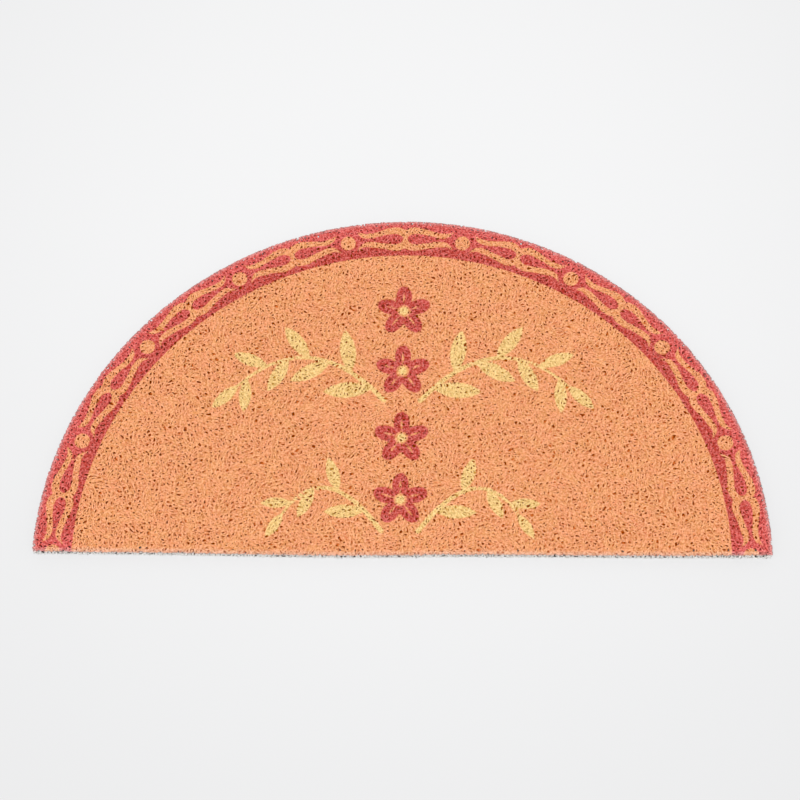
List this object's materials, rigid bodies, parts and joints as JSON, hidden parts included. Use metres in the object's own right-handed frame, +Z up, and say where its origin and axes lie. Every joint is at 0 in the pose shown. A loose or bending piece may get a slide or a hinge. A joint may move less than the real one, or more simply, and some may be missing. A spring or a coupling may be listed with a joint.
{
  "type": "half-round doormat",
  "caption": "Flat half-round doormat of looped plastic filament, with a straight front edge and a printed ornamental band round its curved side.",
  "frame": {"origin": "on the floor, at the middle of the mat's bounding box, half its depth behind the straight front edge", "axes": "+X along the straight edge to the right, +Y from the straight edge towards the curved side, +Z up through the mat"},
  "size_m": [0.8, 0.4, 0.015],
  "materials": {
    "printed_coil": "looped white plastic filament, printed orange, red and yellow from above, satin"
  },
  "bodies": {
    "root": {"coil_mat": "printed_coil"}
  },
  "joints": []
}
